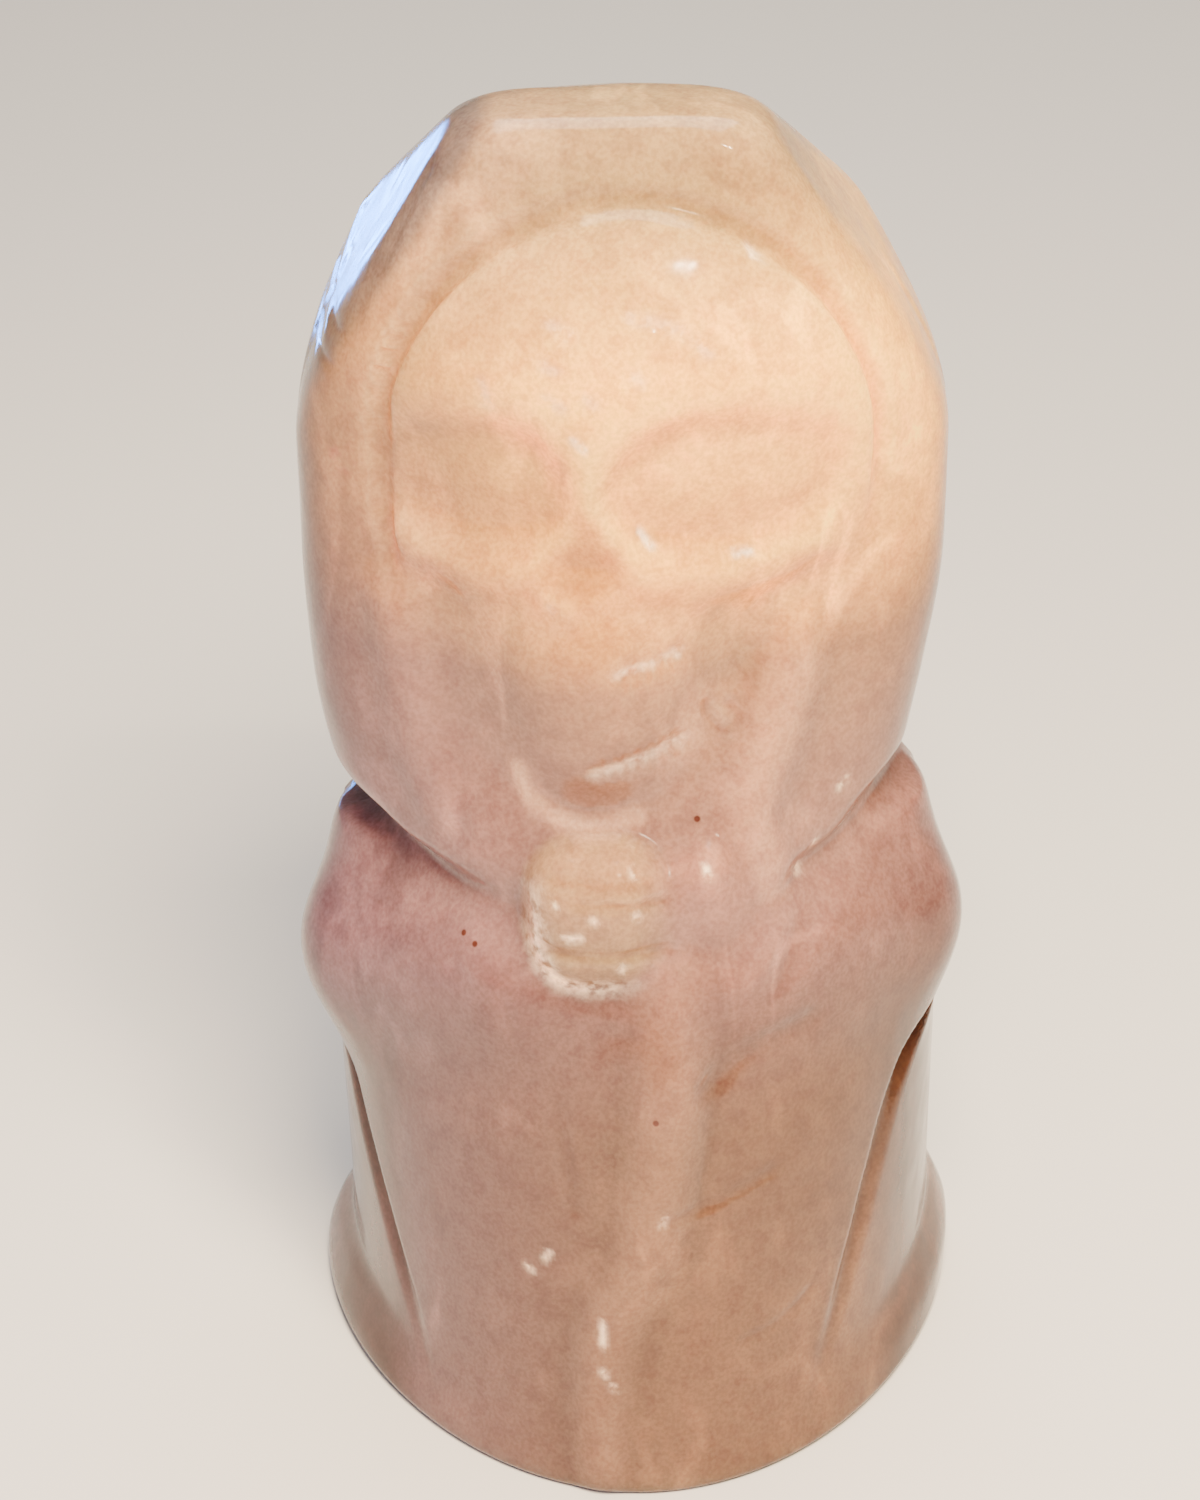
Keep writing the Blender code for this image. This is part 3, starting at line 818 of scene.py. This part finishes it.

# %% Painted highlights on edges and painted shade on the cape
def painted_edge_highlights(p):
    """Painted highlights on edges: the chin's rim and the right lapel."""
    rims = [0.9 * bell(p, line, 1.2 * width) for line, width, _ in CHIN_LINES[:1]]
    lower_right = np.clip((66 - p[:, 2]) / 4, 0, 1) * (p[:, 0] > 0)
    rims.append(lower_right * fade(lapels(p) - 0.1, 1.6))
    return np.max(rims, axis=0)


def fist_rim_highlight(p):
    """A painted highlight round the lower left of the fists, in front view."""
    off = (p - FISTS_MIDDLE)[:, [0, 2]]
    halves = np.array(FISTS_HALVES)[[0, 2]]
    q = np.abs(off) - (halves - FISTS_CORNER)
    outline = np.linalg.norm(np.maximum(q, 0), axis=1) + np.minimum(q.max(axis=1), 0) - FISTS_CORNER
    lower_left = np.clip(-(off / halves).sum(axis=1) / 1.2, 0, 1)
    return lower_left * np.exp(-((outline + 0.8) / 0.75) ** 2) * (p[:, 1] < -17)


def cape_side_shade(p):
    """The cape's low front sides, just behind its front edges, which get painted shade."""
    low_side = np.clip((np.abs(p[:, 0]) - 17) / 3, 0, 1) * np.clip((33 - p[:, 2]) / 6, 0, 1)
    return low_side * np.clip((1 - p[:, 1]) / 8, 0, 1)


print("The lit rim runs round fists that are", 2 * FISTS_HALVES[0], "shares wide")

# %% Finishes on the vertices
FINISHES = {
    "socket": socket_shade,
    "crease": crease_shade,
    "bruise_and_glint": bruised_and_glinting,
    "hands": lambda p: fade(fists(p) - 0.2, 0.8) * np.clip((3.0 - p[:, 0]) / 3, 0, 1),
    # the left bevel, which gets painted shade with a blue cast
    "bevel": lambda p: fade(np.abs(bevels(p[:, 0], p[:, 2])) - 0.8, 1.2) * (p[:, 0] < 0),
    "ridge": painted_edge_highlights,
    "rim": fist_rim_highlight,
    "cape": cape_side_shade,
    # the sleeves, which get painted light
    "sleeve": lambda p: fade(sleeves(p) - 0.5, 2.5),
    # the staff, which gets a painted highlight
    "staff": lambda p: fade(staff(p) - 0.2, 2.4),
}


def store_finishes(mesh, places):
    """Each finish as an attribute of the mesh's vertices."""
    for name, measure in FINISHES.items():
        amount = np.clip(measure(places), 0, 1).astype(np.float32)
        mesh.attributes.new(name, "FLOAT", "POINT").data.foreach_set("value", amount)
        print(f"{name}: {100 * amount.mean():.1f}% of the skin")


store_finishes(stone_mesh, stone_places)

# %% [markdown]
# Rose quartz is milky: light enters it, scatters a few millimetres and comes out warmer. That is subsurface
# scattering, with a longer radius for red than for blue. A material is a graph of small nodes, so the lesson
# keeps a short helper that makes a node, sets its values and plugs its inputs in one call.

# %% A helper for material graphs
quartz = bpy.data.materials.new("rose_quartz_polished")
quartz.use_nodes = True
tree = quartz.node_tree
shader = tree.nodes["Principled BSDF"]


def plug(value, socket):
    """Feed an input with another node's output, a colour or a plain value."""
    if isinstance(value, bpy.types.NodeSocket):
        tree.links.new(value, socket)
    elif socket.type == "RGBA":
        socket.default_value = (*value, 1)
    else:
        socket.default_value = value


def node(kind, settings=None, **inputs):
    """A new node with these settings; each input is a value, or another node's output."""
    made = tree.nodes.new("ShaderNode" + kind)
    for name, value in (settings or {}).items():
        setattr(made, name, value)
    for name, value in inputs.items():
        plug(value, made.inputs[name])
    return made


def reckoned(operation, *values):
    """A sum, product or other Math node of values and outputs."""
    made = node("Math", {"operation": operation})
    for value, socket in zip(values, made.inputs):
        plug(value, socket)
    return made.outputs[0]


place = node("TexCoord").outputs["Object"]
across = node("SeparateXYZ", Vector=place)
print("The graph reads every place on the stone in metres")

# %% [markdown]
# The colour isn't even. The hood is a creamy peach and the robe a duller pink-brown, partly the stone's own
# tone and partly painted light and shade. A colour ramp along the height gives that, and painted mauve
# shade on the left side goes over it. Three more helpers do the painting: one maps a range of numbers
# smoothly onto another, one lays a colour over what is there, and one fetches a finish from the vertices.

# %% Helpers for painting
def between(value, low, high, to_low=0.0, to_high=1.0):
    """A value's range, mapped smoothly onto another."""
    ranged = node("MapRange", {"interpolation_type": "SMOOTHSTEP"}, Value=value)
    for name, number in zip(("From Min", "From Max", "To Min", "To Max"), (low, high, to_low, to_high)):
        ranged.inputs[name].default_value = number
    return ranged.outputs["Result"]


# A Mix node's sockets for colours, which share their names with those for numbers
MIX_AMOUNT, MIX_UNDER, MIX_OVER, MIX_RESULT = 0, 6, 7, 2


def painted(under, colour, amount, how="MIX"):
    """A colour laid over another by an amount."""
    made = node("Mix", {"data_type": "RGBA", "blend_type": how})
    plug(amount, made.inputs[MIX_AMOUNT])
    plug(under, made.inputs[MIX_UNDER])
    plug(colour, made.inputs[MIX_OVER])
    return made.outputs[MIX_RESULT]


def finish_amount(name):
    """A finish that was stored on the vertices."""
    return node("Attribute", {"attribute_name": name}).outputs["Fac"]


print(len(tree.nodes), "nodes before any paint")

# %% Body colour
height_ramp = node("ValToRGB", Fac=between(across.outputs["Z"], 0, HEIGHT))
# The ramp is partly the stone's own tone and partly painted light and shade: lighter towards the head,
# darker towards the bottom and on the top facet.
BODY_COLOURS_AND_SHADE = {
    0.0: (0.168, 0.086, 0.048),
    0.20: (0.150, 0.077, 0.044),
    0.34: (0.190, 0.096, 0.076),
    0.44: (0.280, 0.150, 0.120),
    0.56: (0.290, 0.158, 0.112),
    0.68: (0.330, 0.178, 0.098),
    0.78: (0.750, 0.385, 0.100),
    0.86: (0.960, 0.520, 0.110),
    0.94: (0.970, 0.540, 0.110),
    1.0: (0.300, 0.210, 0.100),
}
stops = height_ramp.color_ramp.elements
while len(stops) < len(BODY_COLOURS_AND_SHADE):
    stops.new(0.5)
for stop, (at, colour) in zip(stops, BODY_COLOURS_AND_SHADE.items()):
    stop.position = at
    stop.color = (*colour, 1)
# Painted mauve shade on the left side, which faces away from the warm light.
MAUVE_SHADE = (0.185, 0.098, 0.116)
left_shade = between(across.outputs["X"], -0.22 * HEIGHT, 0.02 * HEIGHT, 0.7, 0.0)
body_colour = painted(height_ramp.outputs["Color"], MAUVE_SHADE, left_shade)
SIDE_SHADE = (0.62, 0.58, 0.62)
# Painted light on the sleeves, which the hood's overhang shades.
SLEEVE_PAINTED_LIGHT = (1.35, 1.50, 1.60)
CAPE_SHADE = (0.50, 0.37, 0.31)
from_middle = reckoned("ABSOLUTE", across.outputs["X"])
sides = between(from_middle, 0.15 * HEIGHT, 0.25 * HEIGHT)
body_colour = painted(body_colour, SIDE_SHADE, sides, "MULTIPLY")
body_colour = painted(body_colour, SLEEVE_PAINTED_LIGHT, finish_amount("sleeve"), "MULTIPLY")
body_colour = painted(body_colour, CAPE_SHADE, finish_amount("cape"), "MULTIPLY")
print(len(BODY_COLOURS_AND_SHADE), "colours along the height")

# %% [markdown]
# Inside the stone hang clouds and thin pale veils, healed cracks from when the crystal grew. Clouds are
# broad noise. A veil is where another noise crosses its middle value, which draws thin wandering lines.

# %% Clouds and veils
def noise(size, detail=2.0, stretch=(1, 1, 1), distortion=0.0):
    """Soft noise whose lumps are about this size, in metres."""
    scaled = node("Mapping", Vector=place, Scale=stretch)
    lumps = node("TexNoise", Scale=1 / size, Detail=detail, Distortion=distortion, Vector=scaled.outputs[0])
    return lumps.outputs["Fac"]


def product(a, b):
    """Two amounts multiplied."""
    return reckoned("MULTIPLY", a, b)


CLOUD_LIGHT = (1.10, 1.08, 1.06)
CLOUD_DARK = (0.84, 0.80, 0.78)
VEIL_GLOW = (1.45, 1.45, 1.40)
clouds = noise(7 * MM, detail=4, distortion=0.6)
body_colour = painted(body_colour, CLOUD_DARK, between(clouds, 0.50, 0.30), "MULTIPLY")
body_colour = painted(body_colour, CLOUD_LIGHT, between(clouds, 0.52, 0.72), "MULTIPLY")
drift = noise(5 * MM, detail=3, stretch=(1, 1, 0.45), distortion=1.2)
veil_line = product(between(drift, 0.42, 0.50), between(drift, 0.58, 0.50))
veils = product(veil_line, between(noise(6 * MM), 0.45, 0.65, 0.0, 0.8))
body_colour = painted(body_colour, VEIL_GLOW, veils, "MULTIPLY")
wisps = between(noise(1.6 * MM, detail=5, stretch=(1, 1, 0.6), distortion=0.4), 0.55, 0.76, 0.0, 0.6)
body_colour = painted(body_colour, VEIL_GLOW, wisps, "MULTIPLY")
print("Clouds of about 7 mm, veils and wisps")

# %% [markdown]
# The finishes that were stored on the vertices are painted next. Sockets, creases and the left bevel get
# painted shade by multiplying, which leaves the clouds showing through; the bevel's shade has a blue cast,
# a painted reflection of the window. The lapel, the chin's rim and the staff get a painted cream highlight,
# the fists' lower left edge a painted white one, and the hands turn glassy. The chips are white and carry
# painted glints, in crumbs rather than in an even coat.

# %% Painted shade and highlights of the carving
# Painted shade in the sockets, the nose and the sunken cheeks.
SOCKET_PAINTED_SHADE = (0.60, 0.52, 0.62)
# Painted shade on the left bevel, with a blue cast that is a painted reflection of the window.
BEVEL_SHADE_AND_BLUE_REFLECTION = (0.50, 0.58, 0.80)
# Painted shade in the grooves.
CREASE_PAINTED_SHADE = (0.66, 0.56, 0.50)
# Painted cream highlights on the chin's rim, the right lapel and along the staff.
RIDGE_HIGHLIGHT = (0.70, 0.42, 0.26)
GLASSY = (0.33, 0.21, 0.10)
# The chips' own white, also laid on as painted glints and as the painted highlight round the fists.
WHITE_CHIPS_AND_HIGHLIGHTS = (1.0, 0.82, 0.60)
chipped = between(noise(0.5 * MM, detail=3), 0.30, 0.60)
body_colour = painted(body_colour, SOCKET_PAINTED_SHADE, finish_amount("socket"), "MULTIPLY")
body_colour = painted(body_colour, CREASE_PAINTED_SHADE, finish_amount("crease"), "MULTIPLY")
body_colour = painted(body_colour, BEVEL_SHADE_AND_BLUE_REFLECTION, finish_amount("bevel"), "MULTIPLY")
hands = finish_amount("hands")
body_colour = painted(body_colour, GLASSY, product(hands, 0.8))
body_colour = painted(body_colour, RIDGE_HIGHLIGHT, product(finish_amount("ridge"), 0.6))
body_colour = painted(body_colour, RIDGE_HIGHLIGHT, product(finish_amount("staff"), 0.22))
body_colour = painted(body_colour, WHITE_CHIPS_AND_HIGHLIGHTS, product(finish_amount("rim"), chipped))
bruise_and_glint = finish_amount("bruise_and_glint")
body_colour = painted(body_colour, WHITE_CHIPS_AND_HIGHLIGHTS, product(bruise_and_glint, chipped))
print(len(FINISHES), "finishes are painted or roughened by name")

# %% [markdown]
# Last come the specks: a fine grain all over, three tiny dark pits and one rusty stain by the left bevel.
# A pit is painted by its distance from one place on the stone.

# %% Grain, pits and stain
PIT_BROWN = (0.10, 0.03, 0.02)
RUST = (0.42, 0.16, 0.10)
PITS = laid(main_forms, [(4.4, 51.9), (1.2, 31.4), (-11.3, 42.6), (-12.1, 42.9)])
STAIN = laid(main_forms, [(-19.4, 75.8)])


def spot(at, radius):
    """One near a place on the stone, given in shares, and zero further off than the radius."""
    away = node("VectorMath", {"operation": "DISTANCE"})
    plug(place, away.inputs[0])
    plug(Vector(at) * SHARE - plan_middle, away.inputs[1])
    return between(away.outputs["Value"], radius, 0.5 * radius)


for pit in PITS:
    body_colour = painted(body_colour, PIT_BROWN, spot(pit, 0.30 * SHARE))
rusty = product(spot(STAIN[0], 1.6 * SHARE), between(noise(0.5 * MM, detail=4), 0.45, 0.62))
body_colour = painted(body_colour, RUST, product(rusty, 0.6))
SUGAR_TINT = (0.88, 0.84, 0.86)
GRAIN_TINT = (0.80, 0.77, 0.77)
sugar = between(noise(0.7 * MM, detail=5), 0.56, 0.36)
body_colour = painted(body_colour, SUGAR_TINT, sugar, "MULTIPLY")
grain = between(noise(0.16 * MM, detail=2), 0.3, 0.7)
body_colour = painted(body_colour, GRAIN_TINT, grain, "MULTIPLY")
plug(body_colour, shader.inputs["Base Color"])
print(len(PITS), "pits")

# %% [markdown]
# A hand polish is never flat. Broad shallow waves break up the reflections, and the bruises stay rough. The
# light that enters travels furthest in the red. Quartz bends light by 1.54.

# %% Polish and depth
WAVE_HEIGHT = 0.05 * MM
GRIT_HEIGHT = 0.06 * MM
QUARTZ = {
    "IOR": 1.54,
    "Specular IOR Level": 0.35,
    "Subsurface Weight": 1.0,
    "Subsurface Radius": (1.0, 0.60, 0.45),
    "Subsurface Scale": 5.5 * MM,
}
for name, value in QUARTZ.items():
    shader.inputs[name].default_value = value
dull = between(noise(2.5 * MM, detail=3), 0.35, 0.75, 0.09, 0.20)
plug(reckoned("ADD", dull, product(bruise_and_glint, 0.05)), shader.inputs["Roughness"])
waves = node("Bump", Strength=1.0, Distance=WAVE_HEIGHT, Height=noise(1.8 * MM, detail=1))
grit = node("Bump", Strength=1.0, Distance=GRIT_HEIGHT, Height=product(bruise_and_glint, noise(0.12 * MM, detail=2)))
plug(waves.outputs[0], grit.inputs["Normal"])
plug(grit.outputs[0], shader.inputs["Normal"])
stone.data.materials.append(quartz)
print(len(tree.nodes), "nodes in the stone's graph")

# %% [markdown]
# The stone stands on a plain pale floor, wide enough that its edge is never in view. It is paper: rough,
# with hardly any shine of its own, so it only throws soft light back up the figure.

# %% Floor
FLOOR_SIZE = 4.0
PAPER_COLOUR, PAPER_ROUGHNESS = (0.60, 0.59, 0.57, 1), 0.85
bpy.ops.mesh.primitive_plane_add(size=FLOOR_SIZE)
floor = bpy.context.object
floor.name = "floor"
paper = bpy.data.materials.new("pale_paper")
paper.use_nodes = True
paper_shader = paper.node_tree.nodes["Principled BSDF"]
paper_shader.inputs["Base Color"].default_value = PAPER_COLOUR
paper_shader.inputs["Roughness"].default_value = PAPER_ROUGHNESS
floor.data.materials.append(paper)
floor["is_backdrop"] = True
print("A pale floor", FLOOR_SIZE, "metres wide")

# %% [markdown]
# Milky stone looks dead under even light, so a small warm key softbox hangs close in front of the head, with
# a weak lilac fill on the left and a large pale box overhead. Key and fill are hidden from reflections, or
# they would blow out the forehead. A window of three narrow panes stands low behind on the left, turned to
# the bevel in a tight beam: it shows only as the blue gleam there. Two tiny warm lamps give the pin-point
# glints, and a pale sky fills what is left.

# %% Lights
CHEST = (0, 0, HEIGHT / 2)


def softbox(name, place, size, colour, power, aim=CHEST, spread=math.pi):
    """An area light at a place, in metres, that faces the figure's chest or another aim."""
    light = bpy.data.lights.new(name, "AREA")
    light.shape = "RECTANGLE"
    light.size, light.size_y = size
    light.color = colour
    light.energy = power
    light.spread = spread
    lamp = bpy.data.objects.new(name, light)
    lamp.location = place
    lamp.rotation_euler = (Vector(aim) - Vector(place)).to_track_quat("-Z", "Y").to_euler()
    lamp.visible_camera = False
    bpy.context.scene.collection.objects.link(lamp)
    return lamp


WARM, PALE, COOL = (1.0, 0.78, 0.54), (1.0, 0.95, 0.90), (0.04, 0.28, 1.0)
LILAC = (0.85, 0.78, 1.0)
key = softbox("key_softbox", (0.022, -0.075, 0.14), (0.06, 0.06), WARM, 1.12)
key.visible_glossy = False
fill = softbox("left_fill", (-0.10, -0.12, 0.09), (0.10, 0.10), LILAC, 0.11)
fill.visible_glossy = False
softbox("overhead_softbox", (0.02, 0.12, 0.34), (0.24, 0.24), PALE, 1.3)
# The window's middle, the way its row of panes runs, and the beam that each pane throws
WINDOW_MIDDLE, ROW_OF_PANES = (-0.060, 0.135, 0.017), (0.9, 0.45, 0)
PANES, PANE_GAP, PANE_SIZE = 3, 0.011, (0.007, 0.04)
BEVEL_MIDDLE = (-0.175 * HEIGHT, 0, 0.89 * HEIGHT)
BEAM = {"colour": COOL, "power": 0.00022, "aim": BEVEL_MIDDLE, "spread": math.radians(13)}
for pane in range(PANES):
    shift = (pane - (PANES - 1) / 2) * PANE_GAP
    pane_place = [middle + shift * run for middle, run in zip(WINDOW_MIDDLE, ROW_OF_PANES)]
    window = softbox(f"window_pane_{pane}", pane_place, PANE_SIZE, **BEAM)
    window.visible_diffuse = False
LAMP_SIZE, LAMP_POWER = (0.012, 0.012), 0.35
softbox("warm_lamp", (0.16, -0.30, 0.42), LAMP_SIZE, WARM, LAMP_POWER)
softbox("second_warm_lamp", (0.19, -0.30, 0.41), LAMP_SIZE, WARM, LAMP_POWER)
print("Lights:", ", ".join(light.name for light in bpy.data.lights))

# %% A pale sky
SKY_COLOUR, SKY_STRENGTH = (1.0, 0.96, 0.92, 1), 0.22
world = bpy.data.worlds.new("studio")
world.use_nodes = True
sky = world.node_tree.nodes["Background"]
sky.inputs["Color"].default_value = SKY_COLOUR
sky.inputs["Strength"].default_value = SKY_STRENGTH
bpy.context.scene.world = world
print("A pale sky at a strength of", SKY_STRENGTH)

# %% [markdown]
# The camera stands close, looks down at 30 degrees and leans by one degree, as the photographer did. Its
# lens is given as a focal length in pixels, and the picture's optical middle is a little off its centre,
# which a small lens shift copies.

# %% Camera
CAMERA_TILT = math.radians(30)
CAMERA_DISTANCE = 262.6
CAMERA_ROLL = math.radians(-1)
AIM_HEIGHT = 48.5
PICTURE = (1200, 1500)
FOCAL_PIXELS = 3545
MIDDLE_PIXEL = (632, 733)
LONG_SIDE = 36

aim = Vector((0, 0, AIM_HEIGHT * SHARE)) - plan_middle
back = Vector((0, -math.cos(CAMERA_TILT), math.sin(CAMERA_TILT)))
camera = bpy.data.objects.new("camera", bpy.data.cameras.new("camera"))
camera.location = aim + back * CAMERA_DISTANCE * SHARE
camera.rotation_mode = "QUATERNION"
camera.rotation_quaternion = (-back).to_track_quat("-Z", "Y") @ Quaternion((0, 0, 1), CAMERA_ROLL)
camera.data.sensor_width = LONG_SIDE
camera.data.lens = FOCAL_PIXELS / PICTURE[1] * LONG_SIDE
camera.data.shift_x = (PICTURE[0] / 2 - MIDDLE_PIXEL[0]) / PICTURE[1]
camera.data.shift_y = (MIDDLE_PIXEL[1] - PICTURE[1] / 2) / PICTURE[1]
bpy.context.scene.collection.objects.link(camera)
bpy.context.scene.camera = camera
print(f"A {camera.data.lens:.0f} mm lens, {CAMERA_DISTANCE * SHARE / MM:.0f} mm away")

# %% [markdown]
# Last, the finished stone is measured against the imported model: the two boxes have to agree, because a
# carver can't add stone.

# %% Measure and finish
visual_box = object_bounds()
print("Packed model and carved stone, in mm:")
for corners in (cad_box, visual_box):
    print([[round(v / MM, 2) for v in corner] for corner in corners])
